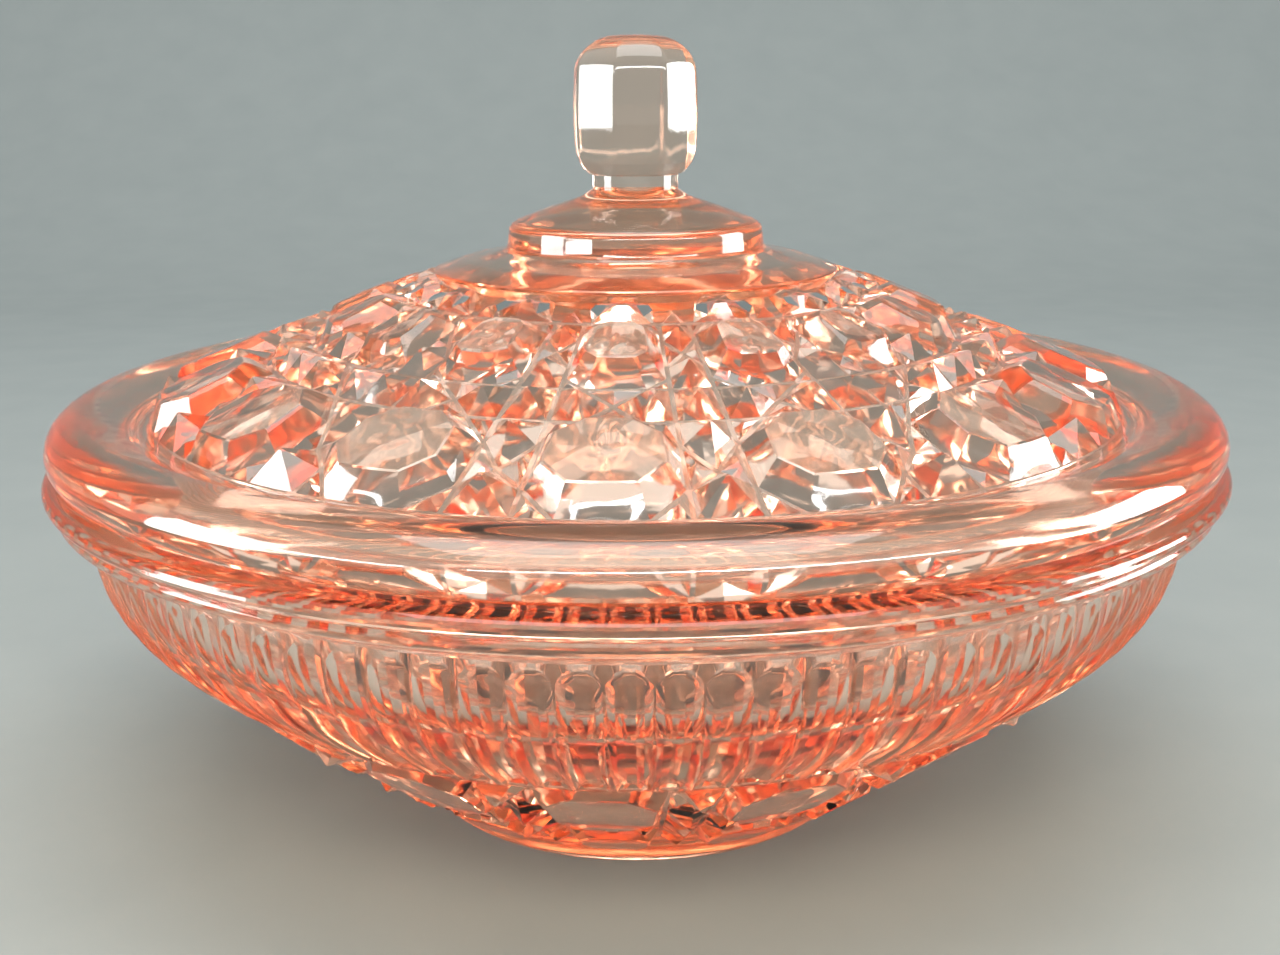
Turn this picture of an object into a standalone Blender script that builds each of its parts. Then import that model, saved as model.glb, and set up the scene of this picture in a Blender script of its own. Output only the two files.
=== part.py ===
"""Covered candy dish in pressed glass: a fluted bowl and its lift-off lid.

Metres, +Z up, the foot stands on z = 0 and the axis of both pieces is the Z axis.
The pattern repeats in 16 equal sectors. Sector 0 faces -Y, and angles grow towards +X.
"""

import math

import bmesh
import bpy
from mathutils import Matrix, Vector

MM = 0.001

# Driving dimensions
DISH_HEIGHT = 120.0 * MM
LID_RADIUS = 90.2 * MM
BOWL_RADIUS = 91.0 * MM
FOOT_RADIUS = 36.2 * MM
SEAT_HEIGHT = 58.7 * MM  # top of the bowl's rim
SEAT_GAP = 0.3 * MM  # between the bowl's rim and the lid that rests on it
GLASS_WALL = 5.6 * MM

# Pattern
SECTORS = 16
FLUTES = 6 * SECTORS
FLUTE_DEPTH = 1.4 * MM
LID_TURN = math.radians(-3)  # the first button's angle
BOWL_TURN = math.radians(-4.3)  # the loose lid is turned a little on the bowl
LID_BUTTON_HEIGHT = 2.9 * MM
BOWL_BUTTON_HEIGHT = 2.0 * MM
BUTTON_SUNK = 1.2 * MM  # how far a button's root reaches into the wall

# Lid
LID_EDGE_RADIUS = 87.3 * MM  # outer edge of the lid's flat underside
FLANGE_RADIUS = 80.6 * MM  # locating flange inside the bowl's rim
FLANGE_WIDTH = 2.6 * MM
FLANGE_DEPTH = 3.6 * MM
LID_FIELD_OUTER = (75.5 * MM, 64.9 * MM)  # radius and height where the lid's pattern starts
LID_FIELD_INNER = (30.7 * MM, 83.2 * MM)  # and where it ends
LID_BUTTONS = (  # place along the field, half width, half length, top scale
    (0.199, 9.0 * MM, 8.8 * MM, 0.72),
    (0.713, 5.9 * MM, 7.2 * MM, 0.55),
)
LID_CROWN = 82.0 * MM  # height of the lid's inside on its axis
NECK_RADIUS = 6.7 * MM
KNOB_SIDES = 8
KNOB_HALF_WIDTH = 9.5 * MM
KNOB_TURN = math.radians(-17)  # angle of one of the knob's edges
KNOB_PROFILE = (  # height, share of the half width, roundness from octagon (0) to circle (1)
    (99.8 * MM, 0.85, 0.7),
    (101.2 * MM, 0.96, 0.25),
    (103.2 * MM, 1.0, 0.0),
    (112.0 * MM, 1.0, 0.0),
    (115.4 * MM, 0.95, 0.15),
    (118.2 * MM, 0.79, 0.45),
    (119.8 * MM, 0.53, 0.8),
)

# Bowl
COLLAR_EDGE = (84.9 * MM, 51.4 * MM)  # radius and height where the flutes start
BOWL_FIELD_OUTER = (72.5 * MM, 30.0 * MM)  # where they end
BOWL_FIELD_TOP = (69.1 * MM, 29.6 * MM)  # the foot buttons' field lies inside the flutes' ends
BOWL_FIELD_FOOT = (40.4 * MM, 5.6 * MM)
BOWL_BUTTONS = (  # place along the field, half width, half length, top scale
    (0.289, 10.0 * MM, 10.6 * MM, 0.76),
    (0.80, 6.2 * MM, 4.0 * MM, 0.66),
)
INSIDE_FLOOR = 13.0 * MM
FOOT_RING_WIDTH = 7.0 * MM
FOOT_RECESS = 1.8 * MM

LID_COLUMNS = 4 * SECTORS
BOWL_COLUMNS = FLUTES


def arc(centre, radius, start, end, steps, squash=1.0):
    """Points (r, z) of an arc from start to end, in degrees from +r, squashed along z."""
    angles = (math.radians(start + (end - start) * i / steps) for i in range(steps + 1))
    return [
        (centre[0] + radius * math.cos(a), centre[1] + radius * squash * math.sin(a))
        for a in angles
    ]


def bezier(points, steps):
    """Points (r, z) of a cubic Bezier curve, without its first point."""
    curve = []
    for i in range(1, steps + 1):
        t = i / steps
        weights = ((1 - t) ** 3, 3 * t * (1 - t) ** 2, 3 * t * t * (1 - t), t**3)
        curve.append(tuple(sum(w * p[k] for w, p in zip(weights, points)) for k in (0, 1)))
    return curve


def along(a, b, t):
    """The point this share of the way from a to b."""
    return (a[0] + (b[0] - a[0]) * t, a[1] + (b[1] - a[1]) * t)


def ring(bm, radius_at, height, columns, turn=0.0):
    """A level, closed loop of vertices. radius_at takes a column's angle."""
    loop = []
    for i in range(columns):
        angle = turn + 2 * math.pi * i / columns
        radius = radius_at(angle)
        loop.append(bm.verts.new((radius * math.sin(angle), -radius * math.cos(angle), height)))
    return loop


def round_ring(bm, point, columns):
    return ring(bm, lambda angle: point[0], point[1], columns)


def stitch(bm, first, second):
    """Joins two loops, where one may have twice as many vertices as the other."""
    coarse, fine = sorted((first, second), key=len)
    ratio = len(fine) // len(coarse)
    turned = coarse is not first
    for i in range(len(coarse)):
        j = (i + 1) % len(coarse)
        if ratio == 1:
            faces = [(coarse[i], coarse[j], fine[j], fine[i])]
        else:
            a, b, c = fine[2 * i], fine[2 * i + 1], fine[(2 * i + 2) % len(fine)]
            faces = [(coarse[i], b, a), (coarse[i], coarse[j], b), (coarse[j], c, b)]
        for face in faces:
            bm.faces.new(reversed(face) if turned else face)


def cap(bm, loop, height):
    """Closes a loop with a fan around a vertex on the axis."""
    middle = bm.verts.new((0, 0, height))
    for i in range(len(loop)):
        bm.faces.new((loop[i], loop[(i + 1) % len(loop)], middle))


def glass(name, colour, roughness):
    material = bpy.data.materials.new(name)
    material.use_nodes = True
    shader = material.node_tree.nodes["Principled BSDF"]
    shader.inputs["Base Color"].default_value = (*colour, 1)
    shader.inputs["Roughness"].default_value = roughness
    shader.inputs["Metallic"].default_value = 0
    shader.inputs["IOR"].default_value = 1.52
    shader.inputs["Transmission Weight"].default_value = 0.9
    return material


def add_object(name, bm):
    """An object made from a bmesh, with its faces turned outwards and shaded smooth."""
    bmesh.ops.recalc_face_normals(bm, faces=bm.faces)
    mesh = bpy.data.meshes.new(name)
    bm.to_mesh(mesh)
    bm.free()
    obj = bpy.data.objects.new(name, mesh)
    bpy.context.scene.collection.objects.link(obj)
    mesh.shade_smooth()
    mesh.set_sharp_from_angle(angle=math.radians(28))
    return obj


def add_button(bm, centre, slope, angle, half_width, half_length, top, height):
    """One octagonal button on a cone: half sizes at its root, top is the scale of its flat."""
    outward = Vector((math.sin(angle), -math.cos(angle), 0))
    sideways = Vector((math.cos(angle), math.sin(angle), 0))
    up_slope = outward * slope[0] + Vector((0, 0, slope[1]))
    normal = sideways.cross(up_slope).normalized()
    middle = outward * centre[0] + Vector((0, 0, centre[1]))
    half_side = math.pi / 8
    root = 1 + (1 - top) * BUTTON_SUNK / height
    loops = []
    for scale, lift in ((root, -BUTTON_SUNK), (top, height)):
        loop = []
        for k in range(8):
            turn = (2 * k + 1) * half_side
            reach = scale / math.cos(half_side)
            u = half_width * reach * math.cos(turn)
            v = half_length * reach * math.sin(turn)
            loop.append(bm.verts.new(middle + sideways * u + up_slope * v + normal * lift))
        loops.append(loop)
    stitch(bm, *loops)
    bm.faces.new(loops[0])
    bm.faces.new(loops[1])


def add_buttons(name, field, rows, height, turn, facing_up):
    """A hidden helper with every row of buttons on a field that runs from one (r, z) to another."""
    outer, inner = field
    length = math.dist(outer, inner) if facing_up else -math.dist(outer, inner)
    slope = ((inner[0] - outer[0]) / length, (inner[1] - outer[1]) / length)
    bm = bmesh.new()
    for place, half_width, half_length, top in rows:
        for sector in range(SECTORS):
            angle = turn + 2 * math.pi * sector / SECTORS
            centre = along(outer, inner, place)
            add_button(bm, centre, slope, angle, half_width, half_length, top, height)
    helper = add_object(name, bm)
    helper.hide_render = True
    helper.display_type = "WIRE"
    return helper


def join(obj, helper):
    union = obj.modifiers.new("buttons", "BOOLEAN")
    union.operation = "UNION"
    union.solver = "EXACT"
    union.object = helper


def knob_radius(half_width, roundness):
    """Radius of the eight-sided knob at an angle, from a plain octagon (0) to a circle (1)."""
    side = 2 * math.pi / KNOB_SIDES

    def radius(angle):
        off_middle = (angle - KNOB_TURN) % side - side / 2
        return half_width * ((1 - roundness) / math.cos(off_middle) + roundness)

    return radius


def lid_outline():
    """Round stretches of the lid's outside, from its flat underside to the neck."""
    seat = SEAT_HEIGHT + SEAT_GAP
    edge = (LID_EDGE_RADIUS, seat)
    rim = arc((LID_RADIUS - 6.2 * MM, seat + 3.2 * MM), 6.2 * MM, -22, 72, 6, squash=0.75)
    shoulder = (80.5 * MM, seat + 7.4 * MM)
    field = [LID_FIELD_OUTER, LID_FIELD_INNER]
    dome = [(32.0 * MM, 84.9 * MM), (27.0 * MM, 86.5 * MM), (20.4 * MM, 87.7 * MM)]
    disc_edge = [(20.0 * MM, 90.9 * MM), (19.2 * MM, 91.8 * MM)]
    disc_top = [(13.0 * MM, 94.2 * MM), (8.4 * MM, 96.0 * MM)]
    neck = [(NECK_RADIUS, 97.0 * MM), (NECK_RADIUS, 99.3 * MM)]
    return [edge, *rim, shoulder, *field, *dome, *disc_edge, *disc_top, *neck]


def lid_inside():
    """The lid's inside, from its flange to near the axis."""
    seat = SEAT_HEIGHT + SEAT_GAP
    foot = seat - FLANGE_DEPTH
    inner = FLANGE_RADIUS - FLANGE_WIDTH
    run = LID_FIELD_OUTER[0] - LID_FIELD_INNER[0]
    rise = LID_FIELD_INNER[1] - LID_FIELD_OUTER[1]
    drop = GLASS_WALL * math.hypot(run, rise) / run  # the wall's thickness along Z
    outer_wall = (LID_FIELD_OUTER[0] - 1.6 * MM, LID_FIELD_OUTER[1] - drop + 0.6 * MM)
    inner_wall = (LID_FIELD_INNER[0], LID_FIELD_INNER[1] - drop)
    return [
        (FLANGE_RADIUS, seat),
        (FLANGE_RADIUS - 0.3 * MM, foot),
        (inner + 0.3 * MM, foot),
        outer_wall,
        inner_wall,
        (16.0 * MM, 80.6 * MM),
        (6.0 * MM, 81.8 * MM),
    ]


def make_lid():
    bm = bmesh.new()
    loops = [round_ring(bm, point, LID_COLUMNS) for point in reversed(lid_inside())]
    bottom = loops[0]
    loops += [round_ring(bm, point, LID_COLUMNS) for point in lid_outline()]
    for height, share, roundness in KNOB_PROFILE:
        radius = knob_radius(share * KNOB_HALF_WIDTH, roundness)
        loops.append(ring(bm, radius, height, LID_COLUMNS))
    for lower, upper in zip(loops, loops[1:]):
        stitch(bm, lower, upper)
    cap(bm, bottom, LID_CROWN)
    cap(bm, loops[-1], DISH_HEIGHT)
    lid = add_object("lid", bm)
    field = (LID_FIELD_OUTER, LID_FIELD_INNER)
    buttons = add_buttons("lid_buttons", field, LID_BUTTONS, LID_BUTTON_HEIGHT, LID_TURN, True)
    join(lid, buttons)
    lid.data.materials.append(glass("lid_glass", (0.86, 0.42, 0.30), 0.06))
    return lid


def fluted_ring(bm, point, depth):
    """A ring whose every other vertex lies in a flute, this deep. One flute is above each button."""
    step = math.pi / FLUTES
    turn = BOWL_TURN + 2 * step

    def radius(angle):
        on_ridge = round((angle - turn) / step) % 2
        return point[0] - depth * (1 - on_ridge)

    return ring(bm, radius, point[1], 2 * BOWL_COLUMNS, turn)


def bowl_inside():
    """The bowl's inside, from its rim to near the axis."""
    rim = (82.4 * MM, SEAT_HEIGHT)
    throat = (80.9 * MM, SEAT_HEIGHT - 6.0 * MM)
    shoulder = (74.0 * MM, 39.6 * MM)  # below it the glass is thicker
    hip = (50.0 * MM, 21.6 * MM)
    middle = (24.0 * MM, INSIDE_FLOOR)
    wall = bezier((throat, (80.0 * MM, 45.6 * MM), (79.2 * MM, 42.4 * MM), shoulder), 5)
    slope = bezier((shoulder, (66.5 * MM, 35.6 * MM), (57.5 * MM, 28.8 * MM), hip), 3)
    floor = bezier((hip, (41.5 * MM, 13.8 * MM), (36.0 * MM, INSIDE_FLOOR), middle), 4)
    return [rim, throat, *wall, *slope, *floor]


def bowl_collar():
    """The bowl's outside from its rim to the edge where the flutes start, with a fine bead."""
    rim = arc((BOWL_RADIUS - 2.2 * MM, SEAT_HEIGHT - 1.5 * MM), 2.2 * MM, 80, -45, 5, squash=0.68)
    groove = (89.0 * MM, 55.6 * MM)
    bead = [(89.3 * MM, 54.7 * MM), (88.6 * MM, 53.7 * MM), (86.2 * MM, 52.6 * MM)]
    return [*rim, groove, *bead, COLLAR_EDGE]


def bowl_flutes(bm):
    """Fluted rings from the collar's edge down to the scalloped ends of the flutes."""
    wall = bezier((COLLAR_EDGE, (85.2 * MM, 40.5 * MM), (80.25 * MM, 36.2 * MM), BOWL_FIELD_OUTER), 6)
    depths = (0.8, 1.0, 1.0, 1.0, 1.0, 0.5)  # shares of a flute's depth, shallow at both ends
    return [fluted_ring(bm, point, FLUTE_DEPTH * depth) for point, depth in zip(wall, depths)]


def make_bowl():
    bm = bmesh.new()
    loops = [round_ring(bm, point, BOWL_COLUMNS) for point in reversed(bowl_inside())]
    floor = loops[0]
    loops += [round_ring(bm, point, BOWL_COLUMNS) for point in bowl_collar()]
    loops += bowl_flutes(bm)
    foot = (
        BOWL_FIELD_TOP,
        BOWL_FIELD_FOOT,
        (FOOT_RADIUS + 1.6 * MM, 1.3 * MM),
        (FOOT_RADIUS, 0),
        (FOOT_RADIUS - FOOT_RING_WIDTH, 0),
        (FOOT_RADIUS - FOOT_RING_WIDTH - 1.2 * MM, FOOT_RECESS),
    )
    loops += [round_ring(bm, point, BOWL_COLUMNS) for point in foot]
    for upper, lower in zip(loops, loops[1:]):
        stitch(bm, upper, lower)
    cap(bm, floor, INSIDE_FLOOR)
    cap(bm, loops[-1], FOOT_RECESS)
    bowl = add_object("bowl", bm)
    field = (BOWL_FIELD_TOP, BOWL_FIELD_FOOT)
    buttons = add_buttons("bowl_buttons", field, BOWL_BUTTONS, BOWL_BUTTON_HEIGHT, BOWL_TURN, False)
    join(bowl, buttons)
    bowl.data.materials.append(glass("bowl_glass", (0.84, 0.36, 0.24), 0.06))
    return bowl


def main():
    for obj in list(bpy.data.objects):
        bpy.data.objects.remove(obj)
    root = bpy.data.objects.new("dish", None)
    bpy.context.scene.collection.objects.link(root)
    make_bowl().parent = root
    make_lid().parent = root


main()
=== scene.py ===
"""Looks of the covered candy dish: pressed peach glass on a pale studio sweep.

Metres, +Z up. Angles are in degrees from the front (-Y) towards +X. Profiles are (radius, height).
The pattern repeats in 16 sectors, and grooves cut each one into buttons, pyramids and blocks.
"""

import math
from collections import namedtuple

import bmesh
import bpy
from mathutils import Matrix, Vector, noise


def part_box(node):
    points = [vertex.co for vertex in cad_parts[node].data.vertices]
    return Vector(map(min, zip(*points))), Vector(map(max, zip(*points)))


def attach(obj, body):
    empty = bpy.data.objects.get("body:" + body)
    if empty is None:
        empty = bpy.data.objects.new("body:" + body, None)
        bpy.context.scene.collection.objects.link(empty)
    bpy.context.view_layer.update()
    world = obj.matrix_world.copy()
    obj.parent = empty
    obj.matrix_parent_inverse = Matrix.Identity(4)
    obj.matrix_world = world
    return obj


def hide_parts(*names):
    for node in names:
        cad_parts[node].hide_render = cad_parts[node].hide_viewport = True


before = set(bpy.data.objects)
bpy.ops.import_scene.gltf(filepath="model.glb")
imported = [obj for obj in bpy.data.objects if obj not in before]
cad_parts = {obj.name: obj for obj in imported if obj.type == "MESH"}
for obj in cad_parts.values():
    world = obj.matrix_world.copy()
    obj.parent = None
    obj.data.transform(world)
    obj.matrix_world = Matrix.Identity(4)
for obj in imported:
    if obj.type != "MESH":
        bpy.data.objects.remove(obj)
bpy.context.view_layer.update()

MM = 0.001
LID_LOW, LID_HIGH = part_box("lid")
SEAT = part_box("bowl")[1].z
LID_SEAT = SEAT + 0.3 * MM
FLANGE_FOOT = LID_LOW.z
LID_RADIUS = 90.1 * MM
BOWL_RADIUS = 90.9 * MM
TOP = LID_HIGH.z

# Pattern
SECTORS = 16
PITCH = 360 / SECTORS
HALF_PITCH = PITCH / 2
HALF_CELL = 8.0  # from a button's middle to the groove beside it
LID_TURN = -3.0  # the first button's angle
BOWL_TURN = -4.3  # the loose lid is turned a little on the bowl
GROOVE = 0.32 * MM  # half the width of a groove's flat bottom
ARC_STEP = 0.75  # degrees between points along a level groove
FACET_SLOPE = 1.0  # a pyramid's height over its inner radius
BLOCK_HEIGHT = 2.0 * MM
BLOCK_SIDE = 1.5 * MM  # how far in a block's top begins
FLUTES = 6 * SECTORS
FLUTE_DEPTH = 0.95 * MM
ROUND_COLUMNS = 360

# A row of buttons: its edges' radii, the radius of the grooves' crossing in the strip beside a button,
# where the grooves cut a button's corners (angle on the edge, radius on the side), where they reach
# the strip's sides, and the radius of the crossing in the band beyond its inner edge.
Row = namedtuple("Row", "outer inner cross outer_cut inner_cut sides below")

LID_FIELD = ((75.5 * MM, 64.9 * MM), (30.7 * MM, 83.2 * MM))
LID_ROWS = (
    Row(
        outer=75.5 * MM,
        inner=57.5 * MM,
        cross=67.2 * MM,
        outer_cut=(4.3, 70.4 * MM),
        inner_cut=(3.6, 62.2 * MM),
        sides=(70.4 * MM, 62.2 * MM),
        below=54.3 * MM,
    ),
    Row(
        outer=50.8 * MM,
        inner=36.0 * MM,
        cross=43.0 * MM,
        outer_cut=(4.7, 48.6 * MM),
        inner_cut=(4.9, 38.4 * MM),
        sides=(46.0 * MM, 40.0 * MM),
        below=None,
    ),
)
BOWL_FIELD = ((69.1 * MM, 29.6 * MM), (40.4 * MM, 5.6 * MM))
BOWL_ROWS = (
    Row(
        outer=69.1 * MM,
        inner=52.7 * MM,
        cross=60.9 * MM,
        outer_cut=(4.0, 65.0 * MM),
        inner_cut=(3.8, 56.6 * MM),
        sides=(65.0 * MM, 56.6 * MM),
        below=50.6 * MM,
    ),
    Row(
        outer=48.7 * MM,
        inner=42.2 * MM,
        cross=45.4 * MM,
        outer_cut=(5.4, 47.2 * MM),
        inner_cut=(5.4, 43.7 * MM),
        sides=(46.8 * MM, 44.1 * MM),
        below=None,
    ),
)


# Profiles

def arc(centre, radius, start, end, steps, squash=1.0):
    """Points of an arc from start to end, in degrees from +r, squashed along z."""
    points = []
    for i in range(steps + 1):
        a = math.radians(start + (end - start) * i / steps)
        points.append((centre[0] + radius * math.cos(a), centre[1] + radius * squash * math.sin(a)))
    return points


def bezier(points, steps):
    """Points of a cubic Bezier curve."""
    curve = []
    for i in range(steps + 1):
        t = i / steps
        weights = ((1 - t) ** 3, 3 * t * (1 - t) ** 2, 3 * t * t * (1 - t), t**3)
        curve.append(tuple(sum(w * p[k] for w, p in zip(weights, points)) for k in (0, 1)))
    return curve


def rounded(corners, radius, steps=3):
    """A profile through these corners, with each inner corner rounded by about this radius."""
    points = [corners[0]]
    for before, corner, after in zip(corners, corners[1:], corners[2:]):
        here = Vector(corner)
        into, out = here - Vector(before), Vector(after) - here
        reach = min(radius, into.length * 0.45, out.length * 0.45)
        start, end = here - into.normalized() * reach, here + out.normalized() * reach
        for i in range(steps + 1):
            t = i / steps
            point = start * (1 - t) ** 2 + here * (2 * t * (1 - t)) + end * t**2
            points.append(tuple(point))
    points.append(corners[-1])
    return points


# Round loops

def at(angle, radius, height):
    a = math.radians(angle)
    return Vector((radius * math.sin(a), -radius * math.cos(a), height))


def angle_of(point):
    return math.degrees(math.atan2(point.x, -point.y)) % 360


def circle(bm, radius_at, height, columns=ROUND_COLUMNS):
    """A level loop of vertices. radius_at is a radius, or a function of the angle."""
    loop = []
    for i in range(columns):
        angle = 360 * i / columns
        radius = radius_at(angle) if callable(radius_at) else radius_at
        loop.append(bm.verts.new(at(angle, radius, height)))
    return loop


def by_angle(loop):
    return sorted(loop, key=lambda v: angle_of(v.co))


def stitch(bm, first, second):
    """Fills the band between two loops, each sorted by angle and of any count."""
    if len(first) == len(second):
        for i in range(len(first)):
            j = (i + 1) % len(first)
            bm.faces.new((first[i], first[j], second[j], second[i]))
        return
    angles = []
    for loop in (first, second):
        turns = [angle_of(v.co) for v in loop]
        angles.append(turns + [turns[0] + 360])
    i = j = 0
    while i < len(first) or j < len(second):
        here, there = first[i % len(first)], second[j % len(second)]
        ahead = angles[0][i + 1] if i < len(first) else math.inf
        across = angles[1][j + 1] if j < len(second) else math.inf
        if ahead <= across:
            i += 1
            bm.faces.new((here, first[i % len(first)], there))
        else:
            j += 1
            bm.faces.new((here, second[j % len(second)], there))


def stitch_all(bm, loops):
    for first, second in zip(loops, loops[1:]):
        stitch(bm, first, second)


def cap(bm, loop, height):
    """Closes a loop with a fan around a vertex on the axis."""
    middle = bm.verts.new((0, 0, height))
    for i in range(len(loop)):
        bm.faces.new((loop[i], loop[(i + 1) % len(loop)], middle))


# Pattern of buttons and pyramids

class Field:
    """The cone that carries the pattern, with lift measured out of the glass."""

    def __init__(self, ends, turn, facing_up):
        self.start, self.end = ends
        self.turn = turn
        run, rise = self.end[0] - self.start[0], self.end[1] - self.start[1]
        length = math.hypot(run, rise) if facing_up else -math.hypot(run, rise)
        self.slope = rise / run
        self.normal = (rise / length, -run / length)

    def height(self, radius):
        return self.start[1] + (radius - self.start[0]) * self.slope

    def point(self, angle, radius, lift=0.0):
        height = self.height(radius) + self.normal[1] * lift
        return at(angle, radius + self.normal[0] * lift, height)


def mirrored(polygon):
    return [(-angle, radius) for angle, radius in reversed(polygon)]


def row_cells(row):
    """The cells of a row of buttons, for the sector from -HALF_CELL on: (kind, polygon)."""
    a, b, c = HALF_CELL, HALF_PITCH, PITCH - HALF_CELL
    ends = ((row.outer, row.outer_cut, row.sides[0]), (row.inner, row.inner_cut, row.sides[1]))
    (up_half, up), (low_half, low) = row.outer_cut, row.inner_cut
    right = [(up_half, row.outer), (a, up), (a, low), (low_half, row.inner)]
    cells = [("button", right + mirrored(right))]
    for edge, (half, cut), side in ends:
        corner = [(half, edge), (a, edge), (a, cut)]
        cells += [("pyramid", corner), ("pyramid", mirrored(corner))]
        cells.append(("pyramid", [(b, row.cross), (a, side), (a, edge), (c, edge), (c, side)]))
    for x in (a, c):
        cells.append(("pyramid", [(b, row.cross), (x, row.sides[0]), (x, row.sides[1])]))
    return cells


def band_cells(outer_row, inner_row):
    """The cells of the band between two rows."""
    a, c = HALF_CELL, PITCH - HALF_CELL
    cross, outer, inner = outer_row.below, outer_row.inner, inner_row.outer
    outer_half, inner_half = outer_row.inner_cut[0], inner_row.outer_cut[0]
    house = [(0, cross), (outer_half, outer), (a, outer), (a, inner), (inner_half, inner)]
    return [
        ("pyramid", [(0, cross), (-outer_half, outer), (outer_half, outer)]),
        ("pyramid", [(0, cross), (-inner_half, inner), (inner_half, inner)]),
        ("pyramid", house),
        ("pyramid", mirrored(house)),
        ("pyramid", [(a, outer), (c, outer), (c, inner), (a, inner)]),
    ]


def last_cells(outer, inner):
    """The half band at the pattern's inner edge: a block under each button, a pyramid beside it."""
    a, b, c = HALF_CELL, HALF_PITCH, PITCH - HALF_CELL
    wide, narrow = 7.2, 4.6  # half a block's outer and inner edge
    tip = (b, inner + 0.6 * MM)
    sliver = [(wide, outer), (a, outer), tip, (b, inner), (narrow, inner)]
    other = [(PITCH - angle, radius) for angle, radius in reversed(sliver)]
    return [
        ("block", [(-wide, outer), (wide, outer), (narrow, inner), (-narrow, inner)]),
        ("pyramid", [(a, outer), (c, outer), tip]),
        ("flat", sliver),
        ("flat", other),
    ]


def on_edge(point, start, end):
    """The share of the way along an edge where this point lies, or None."""
    scale = (1.0, 1 / MM)
    p, s, e = ([x * k for x, k in zip(q, scale)] for q in (point, start, end))
    run = [e[0] - s[0], e[1] - s[1]]
    length = math.hypot(*run)
    along = ((p[0] - s[0]) * run[0] + (p[1] - s[1]) * run[1]) / length**2
    off = abs((p[0] - s[0]) * run[1] - (p[1] - s[1]) * run[0]) / length
    return along if 1e-4 < along < 1 - 1e-4 and off < 1e-3 else None


def arc_points(start, end):
    """Extra points along an edge that follows a level groove."""
    if abs(start[1] - end[1]) > 1e-7:
        return []
    low, high = sorted((start[0], end[0]))
    first = math.ceil((low + 0.3) / ARC_STEP)
    last = math.floor((high - 0.3) / ARC_STEP)
    return [(i * ARC_STEP, start[1]) for i in range(first, last + 1)]


def with_points(polygon, corners):
    """The polygon with its neighbours' corners and the arcs' points added on its edges."""
    result = []
    for start, end in zip(polygon, polygon[1:] + polygon[:1]):
        found = {0.0: start}
        for point in corners + arc_points(start, end):
            share = on_edge(point, start, end)
            if share is not None:
                found[round(share, 4)] = point
        result += [found[share] for share in sorted(found)]
    return result


LEAST_MITRE = 0.3  # a sharp corner's point would run far in below this


def inset(points, distance):
    """A convex outline's points moved inwards, square to its edges. Points are 2D Vectors."""
    count = len(points)
    area = sum(points[i - 1].cross(points[i]) for i in range(count))
    turn = 1 if area > 0 else -1
    moved = []
    for i in range(count):
        into = (points[i] - points[i - 1]).normalized()
        out = (points[(i + 1) % count] - points[i]).normalized()
        first = Vector((-into.y, into.x)) * turn
        second = Vector((-out.y, out.x)) * turn
        moved.append(points[i] + (first + second) * distance / max(1 + first.dot(second), LEAST_MITRE))
    return moved


def inner_radius(points):
    """The distance from the origin to the nearest of the outline's edges."""
    gaps = []
    for i in range(len(points)):
        edge = points[i] - points[i - 1]
        gaps.append(abs(edge.normalized().cross(points[i])))
    return min(gaps)


class Cell:
    """One cell of the pattern: its groove-level outline, and a flat frame around its middle."""

    def __init__(self, bm, field, polygon, verts):
        self.bm, self.verts = bm, verts
        angle = sum(p[0] for p in polygon) / len(polygon)
        radius = sum(p[1] for p in polygon) / len(polygon)
        self.middle = field.point(angle, radius)
        self.u = at(angle + 90, 1, 0)
        self.n = (field.point(angle, radius, 1) - self.middle).normalized()
        self.v = self.n.cross(self.u)
        offsets = [v.co - self.middle for v in verts]
        self.flat = [Vector((o.dot(self.u), o.dot(self.v))) for o in offsets]
        self.lifts = [o.dot(self.n) for o in offsets]

    def place(self, point, lift):
        return self.middle + self.u * point.x + self.v * point.y + self.n * lift

    def ring(self, points, lifts):
        """A new loop of vertices inside the last one, joined to it."""
        made = [self.bm.verts.new(self.place(p, h)) for p, h in zip(points, lifts)]
        count = len(made)
        for i in range(count):
            j = (i + 1) % count
            self.bm.faces.new((self.verts[i], self.verts[j], made[j], made[i]))
        self.verts = made

    def close(self, lift):
        """A fan around a last vertex."""
        tip = self.bm.verts.new(self.place(Vector((0, 0)), lift))
        for i in range(len(self.verts)):
            self.bm.faces.new((self.verts[i - 1], self.verts[i], tip))


def fill_pyramid(cell):
    """Flat facets up to a point that is worn a little round."""
    foot = inset(cell.flat, GROOVE)
    cell.ring(foot, cell.lifts)
    height = inner_radius(foot) * FACET_SLOPE
    worn = 0.06
    cell.ring([p * worn for p in foot], [height * (1 - worn)] * len(foot))
    cell.close(height * (1 - worn / 2))


def fill_block(cell):
    """A flat top between sloped sides."""
    foot = inset(cell.flat, GROOVE)
    cell.ring(foot, cell.lifts)
    cell.ring(inset(foot, BLOCK_SIDE), [BLOCK_HEIGHT] * len(foot))
    cell.close(BLOCK_HEIGHT)


def fill_flat(cell):
    cell.bm.faces.new(cell.verts)


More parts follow.
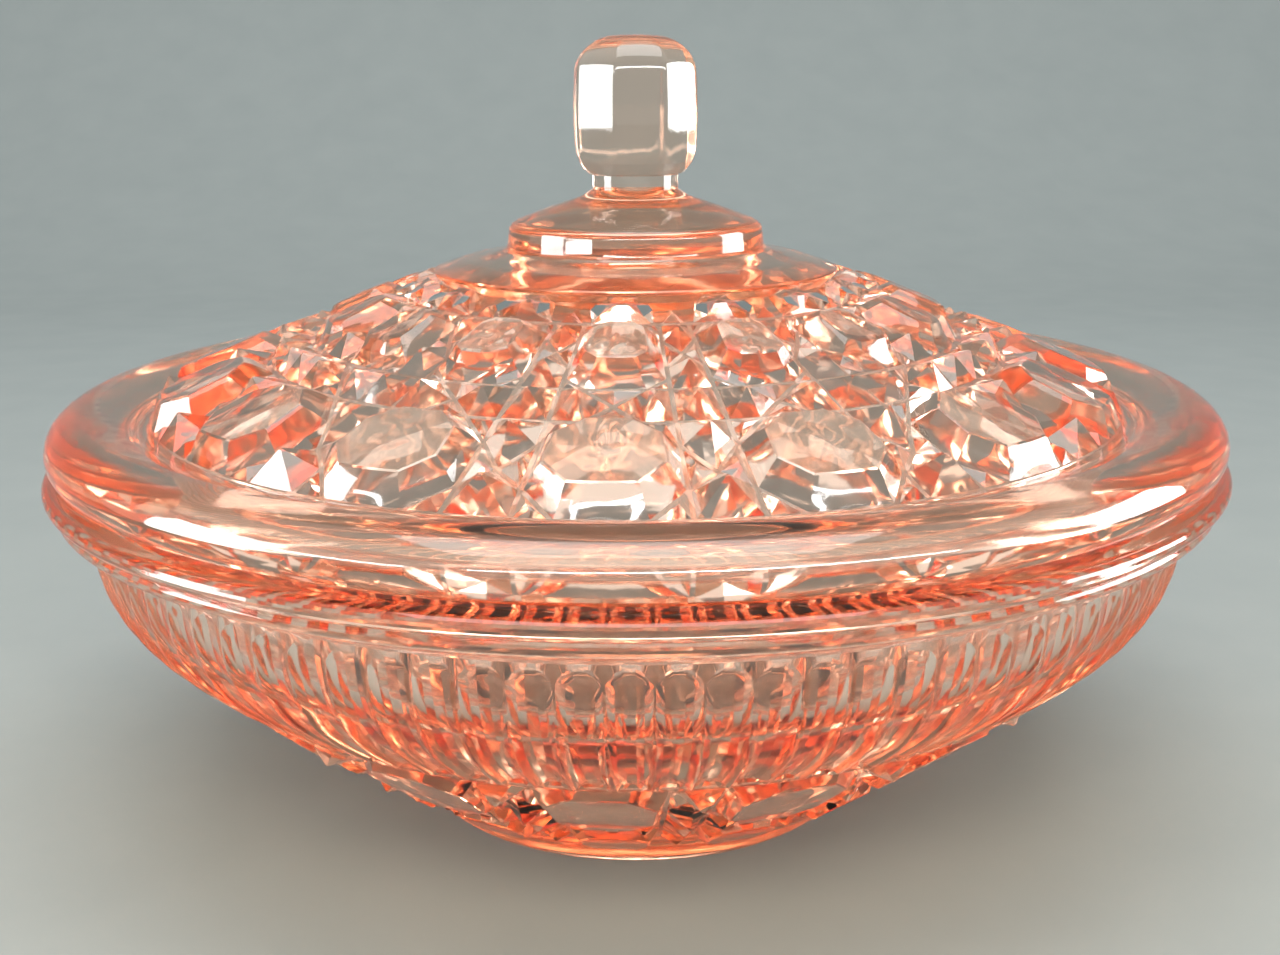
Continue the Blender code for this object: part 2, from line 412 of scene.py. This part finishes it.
def fill_button(cell, style):
    """A button: rings from round sides to an octagonal top, which is a little wrinkled."""
    foot = inset(cell.flat, GROOVE)
    cell.ring(foot, cell.lifts)
    reach = inner_radius(foot)
    for scale, share, roundness in style.rings:
        ring = []
        squeeze = 1 - (1 - style.squeeze) * (1 - scale) / (1 - style.rings[-1][0])
        for p in foot:
            round_point = p.normalized() * min(reach * 1.04, p.length)
            point = p.lerp(round_point, roundness) * scale
            ring.append(Vector((point.x, point.y * squeeze)))
        cell.ring(ring, [style.height * share] * len(ring))
    edge = ring
    for k in range(1, style.top_rings):
        shrink = 1 - k / style.top_rings
        points = [p * shrink for p in edge]
        lifts = []
        for p in points:
            spot = cell.place(p, 0) / style.wrinkle_size
            fade = min(1.0, 3 * (1 - shrink))
            lifts.append(style.height + noise.noise(spot) * style.wrinkle * fade)
        cell.ring(points, lifts)
    cell.close(style.height)


# A button: its height, rings (scale, share of the height, roundness), how much shorter its top is
# than it is wide, and its top's rings and wrinkles.
ButtonStyle = namedtuple("ButtonStyle", "height rings squeeze top_rings wrinkle wrinkle_size")
LID_BUTTONS = (
    ButtonStyle(
        height=3.1 * MM,
        rings=(
            (0.965, 0.25, 0.35),
            (0.91, 0.52, 0.35),
            (0.84, 0.78, 0.2),
            (0.775, 0.96, 0.05),
            (0.745, 1.0, 0.0),
        ),
        squeeze=0.89,
        top_rings=7,
        wrinkle=0.16 * MM,
        wrinkle_size=2.2 * MM,
    ),
    ButtonStyle(
        height=2.8 * MM,
        rings=(
            (0.96, 0.28, 0.5),
            (0.88, 0.56, 0.6),
            (0.77, 0.80, 0.5),
            (0.66, 0.95, 0.25),
            (0.56, 1.0, 0.1),
        ),
        squeeze=0.92,
        top_rings=5,
        wrinkle=0.14 * MM,
        wrinkle_size=1.6 * MM,
    ),
)
BOWL_BUTTONS = (
    ButtonStyle(
        height=2.1 * MM,
        rings=((0.98, 0.3, 0.15), (0.93, 0.62, 0.15), (0.85, 0.94, 0.05), (0.82, 1.0, 0.0)),
        squeeze=1.0,
        top_rings=5,
        wrinkle=0.08 * MM,
        wrinkle_size=2.5 * MM,
    ),
    ButtonStyle(
        height=1.7 * MM,
        rings=((0.95, 0.4, 0.1), (0.82, 0.9, 0.05), (0.76, 1.0, 0.0)),
        squeeze=1.0,
        top_rings=3,
        wrinkle=0.05 * MM,
        wrinkle_size=2.0 * MM,
    ),
)


def add_pattern(bm, field, rows, styles, cells):
    """Fills a cone with the pattern. Returns its outer and its inner loop, sorted by angle."""
    corners = []
    for _, polygon in cells:
        for angle, radius in polygon:
            corners += [(angle + k * PITCH, radius) for k in (-1, 0, 1)]
    known = {}

    def vertex(angle, radius):
        key = (round(angle % 360, 2) % 360, round(radius / MM, 3))
        if key not in known:
            known[key] = bm.verts.new(field.point(angle, radius))
        return known[key]

    for kind, polygon in cells:
        outline = with_points(polygon, corners)
        for sector in range(SECTORS):
            turn = field.turn + sector * PITCH
            verts = [vertex(angle + turn, radius) for angle, radius in outline]
            turned = [(angle + turn, radius) for angle, radius in polygon]
            cell = Cell(bm, field, turned, verts)
            if kind == "button":
                row = min(range(len(rows)), key=lambda k: abs(rows[k].cross - turned[0][1]))
                fill_button(cell, styles[row])
            elif kind == "pyramid":
                fill_pyramid(cell)
            elif kind == "block":
                fill_block(cell)
            else:
                fill_flat(cell)
    loops = []
    for radius in (field.start[0], field.end[0]):
        found = [v for key, v in known.items() if abs(key[1] - radius / MM) < 0.005]
        loops.append(by_angle(found))
    return loops


# Lid

KNOB_SIDES = 8
KNOB_HALF_WIDTH = 9.4 * MM
KNOB_TURN = -17.0  # angle of one of the knob's edges
NECK_RADIUS = 6.7 * MM
LID_CEILING = 82.0 * MM  # the lid's inside on the axis


def knob_radius(half_width, roundness, sharpness=60):
    """The knob's radius at an angle, from an octagon with soft edges (0) to a circle (1)."""
    side = 360 / KNOB_SIDES

    def radius(angle):
        total = 0.0
        for k in range(KNOB_SIDES):
            off = math.cos(math.radians(angle - KNOB_TURN - side * (k + 0.5)))
            total += max(off, 0) ** sharpness
        octagon = total ** (-1 / sharpness)
        return half_width * (octagon * (1 - roundness) + roundness)

    return radius


def knob_loops(bm):
    """The knob from its neck to near its top, as flat facets between two rounded ends."""
    low, high = 99.2 * MM, TOP
    cheek = 5.6 * MM  # height of the rounded top
    loops = [circle(bm, NECK_RADIUS, low)]
    for share, height, roundness in (
        (0.78, 0.2 * MM, 0.8),
        (0.86, 0.9 * MM, 0.5),
        (0.925, 1.9 * MM, 0.25),
        (0.965, 3.1 * MM, 0.1),
        (0.985, 4.6 * MM, 0.05),
        (1.0, 8.0 * MM, 0.05),
        (1.0, 10.0 * MM, 0.05),
        (0.99, 12.6 * MM, 0.05),
    ):
        loops.append(circle(bm, knob_radius(KNOB_HALF_WIDTH * share, roundness), low + height))
    steps = 12
    for i in range(steps):
        way = i / (steps - 1)
        a = math.radians(88 * way)
        share = 0.30 + 0.68 * math.cos(a)
        height = high - cheek * (1 - math.sin(a))
        roundness = 0.05 + 0.6 * way**1.5
        loops.append(circle(bm, knob_radius(KNOB_HALF_WIDTH * share, roundness), height))
    return loops


def lid_rim():
    """The lid's outside from its flat underside to the pattern."""
    edge = (87.3 * MM, LID_SEAT)
    bead = arc((LID_RADIUS - 6.2 * MM, LID_SEAT + 3.2 * MM), 6.2 * MM, -24, 78, 16, squash=0.78)
    shoulder = bezier((bead[-1], (82.5 * MM, 67.6 * MM), (79.0 * MM, 66.0 * MM), LID_FIELD[0]), 8)
    return [edge, *bead, *shoulder[1:-1]]


def lid_crown():
    """The lid's outside from the pattern to the neck."""
    corners = [
        LID_FIELD[1],
        (32.2 * MM, 84.9 * MM),
        (27.0 * MM, 86.6 * MM),
        (20.3 * MM, 87.8 * MM),
        (19.9 * MM, 91.4 * MM),
        (18.9 * MM, 92.2 * MM),
        (13.0 * MM, 94.4 * MM),
        (8.4 * MM, 95.9 * MM),
        (NECK_RADIUS, 97.0 * MM),
    ]
    return rounded(corners, 1.1 * MM, 4)[1:]


def lid_inside():
    """The lid's inside from its flange to near the axis."""
    corners = [
        (80.6 * MM, LID_SEAT),
        (80.3 * MM, FLANGE_FOOT),
        (78.3 * MM, FLANGE_FOOT),
        (75.6 * MM, 57.6 * MM),
        (71.9 * MM, 60.2 * MM),
        (30.7 * MM, 77.2 * MM),
        (16.0 * MM, 80.6 * MM),
        (6.0 * MM, 81.8 * MM),
    ]
    return rounded(corners, 1.6 * MM, 5)


def make_lid():
    bm = bmesh.new()
    field = Field(LID_FIELD, LID_TURN, facing_up=True)
    cells = row_cells(LID_ROWS[0]) + band_cells(*LID_ROWS) + row_cells(LID_ROWS[1])
    cells += last_cells(LID_ROWS[1].inner, LID_FIELD[1][0])
    outer, inner = add_pattern(bm, field, LID_ROWS, LID_BUTTONS, cells)
    inside = [circle(bm, *point) for point in lid_inside()]
    rim = [circle(bm, *point) for point in lid_rim()]
    crown = [circle(bm, *point) for point in lid_crown()]
    knob = knob_loops(bm)
    stitch_all(bm, [*reversed(inside), *rim, outer])
    stitch_all(bm, [inner, *crown, *knob])
    cap(bm, inside[-1], LID_CEILING)
    cap(bm, knob[-1], TOP)
    return finish_piece("lid_glass_body", bm)


# Bowl

COLLAR_EDGE = (84.9 * MM, 51.4 * MM)
FLUTES_END = (72.5 * MM, 30.0 * MM)
LEDGE = ((71.6 * MM, 29.55 * MM), (70.2 * MM, 29.5 * MM))  # between the flutes and the buttons
INSIDE_FLOOR = 13.0 * MM
FOOT_RECESS = 1.8 * MM
RIDGE = 0.95  # a flute's share of its pitch, the rest is the flat ridge
FLUTE_COLUMNS = (-1.0, -0.95, -0.82, -0.6, -0.25, 0.25, 0.6, 0.82, 0.95)
FLUTE_ROWS = 26


def bowl_inside():
    """The bowl's inside from its rim to near the axis."""
    rim = [(82.4 * MM, SEAT - 0.5 * MM), (81.6 * MM, 55.6 * MM)]
    throat, shoulder, hip = (80.9 * MM, 52.7 * MM), (74.0 * MM, 39.6 * MM), (50.0 * MM, 21.6 * MM)
    wall = bezier((throat, (80.0 * MM, 45.6 * MM), (79.2 * MM, 42.4 * MM), shoulder), 20)
    slope = bezier((shoulder, (66.5 * MM, 35.6 * MM), (57.5 * MM, 28.8 * MM), hip), 16)
    level = ((36.0 * MM, INSIDE_FLOOR), (24.0 * MM, INSIDE_FLOOR))
    floor = bezier((hip, (41.5 * MM, 13.8 * MM), *level), 14)
    return [*rim, *wall, *slope[1:], *floor[1:]]


def bowl_collar():
    """The bowl's outside from its flat rim to the edge where the flutes start, with two beads."""
    seat = [(82.9 * MM, SEAT), (88.4 * MM, SEAT)]
    bead = arc((BOWL_RADIUS - 2.1 * MM, SEAT - 1.55 * MM), 2.1 * MM, 78, -58, 9, squash=0.7)
    low_bead = arc((88.6 * MM, 54.5 * MM), 0.9 * MM, 42, -62, 5)
    slope = [(86.6 * MM, 52.6 * MM), (85.4 * MM, 51.9 * MM)]
    return [*seat, *bead, (88.95 * MM, 55.5 * MM), *low_bead, *slope]


def walk(curve):
    """The running length at each point of a curve."""
    lengths = [0.0]
    for first, second in zip(curve, curve[1:]):
        lengths.append(lengths[-1] + math.dist(first, second))
    return lengths


def flute_loops(bm):
    """The fluted wall: concave channels with arched tops, between narrow flat ridges."""
    curve = bezier((COLLAR_EDGE, (85.2 * MM, 40.5 * MM), (80.25 * MM, 36.2 * MM), FLUTES_END), 60)
    lengths = walk(curve)
    total = lengths[-1]
    arch = math.pi * COLLAR_EDGE[0] / FLUTES  # half a flute's width
    loops = []
    for row in range(FLUTE_ROWS + 1):
        share = (row / FLUTE_ROWS) ** 1.35
        loop = []
        for flute in range(FLUTES):
            for t in FLUTE_COLUMNS:
                hollow = max(1 - abs(t / RIDGE) ** 2.6, 0.0)
                start = 0.2 * MM + arch * (1 - math.sqrt(max(1 - t * t, 0)))
                along = start + (total - start) * share if row else 0.0
                rise = 1 - math.exp(-max(along - start, 0) / (0.6 * MM))
                depth = FLUTE_DEPTH * hollow * rise
                k = max(i for i in range(len(curve) - 1) if lengths[i] <= along)
                k_share = (along - lengths[k]) / (lengths[k + 1] - lengths[k])
                here = Vector(curve[k]).lerp(Vector(curve[k + 1]), k_share)
                way = (Vector(curve[k + 1]) - Vector(curve[k])).normalized()
                spot = here + Vector((way.y, -way.x)) * depth
                angle = BOWL_TURN + (flute + 0.5 * t) * 360 / FLUTES
                loop.append(bm.verts.new(at(angle, spot.x, spot.y)))
        loops.append(by_angle(loop))
    return loops


def bowl_foot():
    """From the pattern's inner edge under the foot to near the axis."""
    corners = [
        BOWL_FIELD[1],
        (37.6 * MM, 1.6 * MM),
        (36.2 * MM, 0.0),
        (29.2 * MM, 0.0),
        (28.0 * MM, FOOT_RECESS),
        (24.0 * MM, FOOT_RECESS),
    ]
    return rounded(corners, 0.8 * MM, 4)[1:]


def make_bowl():
    bm = bmesh.new()
    whole = Field(BOWL_FIELD, BOWL_TURN, facing_up=False)
    last_edge = BOWL_ROWS[-1].inner
    patterned = (BOWL_FIELD[0], (last_edge, whole.height(last_edge)))
    field = Field(patterned, BOWL_TURN, facing_up=False)
    cells = row_cells(BOWL_ROWS[0]) + band_cells(*BOWL_ROWS) + row_cells(BOWL_ROWS[1])
    outer, inner = add_pattern(bm, field, BOWL_ROWS, BOWL_BUTTONS, cells)
    inside = [circle(bm, *point) for point in bowl_inside()]
    collar = [circle(bm, *point) for point in bowl_collar()]
    flutes = flute_loops(bm)
    ledge = [circle(bm, *point) for point in LEDGE]
    foot = [circle(bm, *point) for point in bowl_foot()]
    stitch_all(bm, [*reversed(inside), *collar, *flutes, *ledge, outer])
    stitch_all(bm, [inner, *foot])
    cap(bm, inside[-1], INSIDE_FLOOR)
    cap(bm, foot[-1], FOOT_RECESS)
    return finish_piece("bowl_glass_body", bm)


def finish_piece(name, bm):
    bmesh.ops.recalc_face_normals(bm, faces=bm.faces)
    mesh = bpy.data.meshes.new(name)
    bm.to_mesh(mesh)
    bm.free()
    obj = bpy.data.objects.new(name, mesh)
    bpy.context.scene.collection.objects.link(obj)
    mesh.shade_smooth()
    mesh.set_sharp_from_angle(angle=math.radians(14))
    return obj


# Materials

CLEAR_TINT = (1.0, 0.935, 0.88, 1)
PEACH = (0.96, 0.50, 0.19)
BOWL_DEPTH = 29.0  # how strongly the glass takes its colour from its depth, per metre
LID_DEPTH = 22.0
PAPER_DARK = (0.248, 0.275, 0.276, 1)
PAPER_LIGHT = (0.280, 0.307, 0.306, 1)


def link(tree, source, target):
    tree.links.new(source, target)


def glass_material(name, density):
    """Clear glass that takes its colour from its depth, with fire-polished, faintly wavy faces."""
    material = bpy.data.materials.new(name)
    material.use_nodes = True
    tree = material.node_tree
    shader = tree.nodes["Principled BSDF"]
    output = tree.nodes["Material Output"]
    shader.inputs["Base Color"].default_value = CLEAR_TINT
    shader.inputs["IOR"].default_value = 1.52
    shader.inputs["Transmission Weight"].default_value = 1.0
    shader.inputs["Specular IOR Level"].default_value = 0.5
    place = tree.nodes.new("ShaderNodeTexCoord")
    waves = tree.nodes.new("ShaderNodeTexNoise")
    waves.inputs["Scale"].default_value = 150.0
    waves.inputs["Detail"].default_value = 3.0
    link(tree, place.outputs["Object"], waves.inputs["Vector"])
    bump = tree.nodes.new("ShaderNodeBump")
    bump.inputs["Strength"].default_value = 0.2
    bump.inputs["Distance"].default_value = 0.2 * MM
    link(tree, waves.outputs["Fac"], bump.inputs["Height"])
    link(tree, bump.outputs["Normal"], shader.inputs["Normal"])
    haze = tree.nodes.new("ShaderNodeTexNoise")
    haze.inputs["Scale"].default_value = 90.0
    link(tree, place.outputs["Object"], haze.inputs["Vector"])
    rough = tree.nodes.new("ShaderNodeMapRange")
    rough.inputs["To Min"].default_value = 0.02
    rough.inputs["To Max"].default_value = 0.12
    link(tree, haze.outputs["Fac"], rough.inputs["Value"])
    link(tree, rough.outputs["Result"], shader.inputs["Roughness"])
    depth = tree.nodes.new("ShaderNodeVolumeAbsorption")
    depth.inputs["Color"].default_value = (*PEACH, 1)
    depth.inputs["Density"].default_value = density
    link(tree, depth.outputs["Volume"], output.inputs["Volume"])
    return material


def paper_material():
    """Grey-green studio paper with a faint grain."""
    material = bpy.data.materials.new("studio_paper")
    material.use_nodes = True
    tree = material.node_tree
    shader = tree.nodes["Principled BSDF"]
    shader.inputs["Roughness"].default_value = 0.75
    shader.inputs["Specular IOR Level"].default_value = 0.0
    place = tree.nodes.new("ShaderNodeTexCoord")
    grain = tree.nodes.new("ShaderNodeTexNoise")
    grain.inputs["Scale"].default_value = 38.0
    grain.inputs["Detail"].default_value = 8.0
    link(tree, place.outputs["Object"], grain.inputs["Vector"])
    tone = tree.nodes.new("ShaderNodeMix")
    tone.data_type = "RGBA"
    tone.inputs["A"].default_value = PAPER_DARK
    tone.inputs["B"].default_value = PAPER_LIGHT
    link(tree, grain.outputs["Fac"], tone.inputs["Factor"])
    link(tree, tone.outputs["Result"], shader.inputs["Base Color"])
    return material


# Studio

def add_sweep():
    """A floor that curves up into a backdrop behind the dish."""
    half_width, front, back, bend, top = 3.0, -1.4, 0.55, 0.5, 2.2
    profile = [(front, 0.0), *arc((back, bend), bend, -90, 0, 16), (back + bend, top)]
    bm = bmesh.new()
    sides = []
    for x in (-half_width, half_width):
        sides.append([bm.verts.new((x, y, z)) for y, z in profile])
    left, right = sides
    for i in range(len(profile) - 1):
        bm.faces.new((left[i], right[i], right[i + 1], left[i + 1]))
    mesh = bpy.data.meshes.new("studio_sweep")
    bm.to_mesh(mesh)
    bm.free()
    mesh.shade_smooth()
    sweep = bpy.data.objects.new("studio_sweep", mesh)
    bpy.context.scene.collection.objects.link(sweep)
    sweep.data.materials.append(paper_material())


def add_soft_box(name, place, target, size, power, colour=(1, 1, 1)):
    data = bpy.data.lights.new(name, "AREA")
    data.shape = "RECTANGLE"
    data.size, data.size_y = size
    data.energy = power
    data.color = colour
    light = bpy.data.objects.new(name, data)
    light.location = place
    light.rotation_euler = (Vector(target) - Vector(place)).to_track_quat("-Z", "Y").to_euler()
    bpy.context.scene.collection.objects.link(light)
    return light


# Soft boxes that only the glass mirrors: name, place, size and power.
MIRRORED_BOXES = (
    ("soft_box_left", (-0.88, -0.17, 0.25), (0.40, 0.45), 10.0),
    ("soft_box_right", (0.88, 0.10, 0.25), (0.45, 0.45), 10.0),
    ("strip_front", (0.20, -0.80, 0.42), (1.50, 0.06), 9.0),
    ("strip_left", (-0.78, -0.62, 0.30), (0.45, 0.06), 2.4),
)
DISH_MIDDLE = (0, 0, 0.06)
FLOOR_BEFORE_DISH = (0, -0.12, 0)
WARM = (1.0, 0.80, 0.58)
MOST_BOUNCES = 32  # light is reflected many times inside cut glass before it comes out


def light_studio():
    """Soft light from above and all around, a warm light before the dish, and the mirrored boxes."""
    add_soft_box("soft_box_top", (0, -0.15, 1.1), DISH_MIDDLE, (1.0, 0.8), 11.5)
    for name, place, size, power in MIRRORED_BOXES:
        light = add_soft_box(name, place, DISH_MIDDLE, size, power)
        light.visible_diffuse = False
    fill = add_soft_box("warm_fill", (0, -0.36, 0.30), FLOOR_BEFORE_DISH, (0.25, 0.12), 1.5, WARM)
    fill.visible_glossy = False
    fill.visible_transmission = False
    world = bpy.data.worlds.new("studio_light")
    bpy.context.scene.world = world
    world.use_nodes = True
    background = world.node_tree.nodes["Background"]
    background.inputs["Color"].default_value = (0.97, 1.0, 0.98, 1)
    background.inputs["Strength"].default_value = 1.0
    bpy.context.scene.view_settings.view_transform = "Standard"
    paths = bpy.context.scene.cycles
    paths.max_bounces = MOST_BOUNCES
    paths.glossy_bounces = MOST_BOUNCES
    paths.transmission_bounces = MOST_BOUNCES


CAMERA_PLACE = (0.47 * MM, -233.2 * MM, 111.9 * MM)
CAMERA_PITCH = 90 - 14.86  # from straight down, in degrees
CAMERA_ROLL = -0.33


def add_camera():
    """A close camera a little above the dish, looking down at it by about 15 degrees."""
    data = bpy.data.cameras.new("camera")
    data.lens = 41.06
    data.sensor_width = 36.0
    data.clip_start = 0.01
    camera = bpy.data.objects.new("camera", data)
    pitch = Matrix.Rotation(math.radians(CAMERA_PITCH), 4, "X")
    roll = Matrix.Rotation(math.radians(CAMERA_ROLL), 4, "Z")
    camera.matrix_world = Matrix.Translation(CAMERA_PLACE) @ pitch @ roll
    bpy.context.scene.collection.objects.link(camera)
    bpy.context.scene.camera = camera


def main():
    add_camera()
    for piece, node, body, density in (
        (make_bowl(), "bowl", "bowl_body", BOWL_DEPTH),
        (make_lid(), "lid", "lid_body", LID_DEPTH),
    ):
        piece.data.materials.append(glass_material(node + "_glass", density))
        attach(piece, body)
        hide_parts(node)
    add_sweep()
    light_studio()


main()
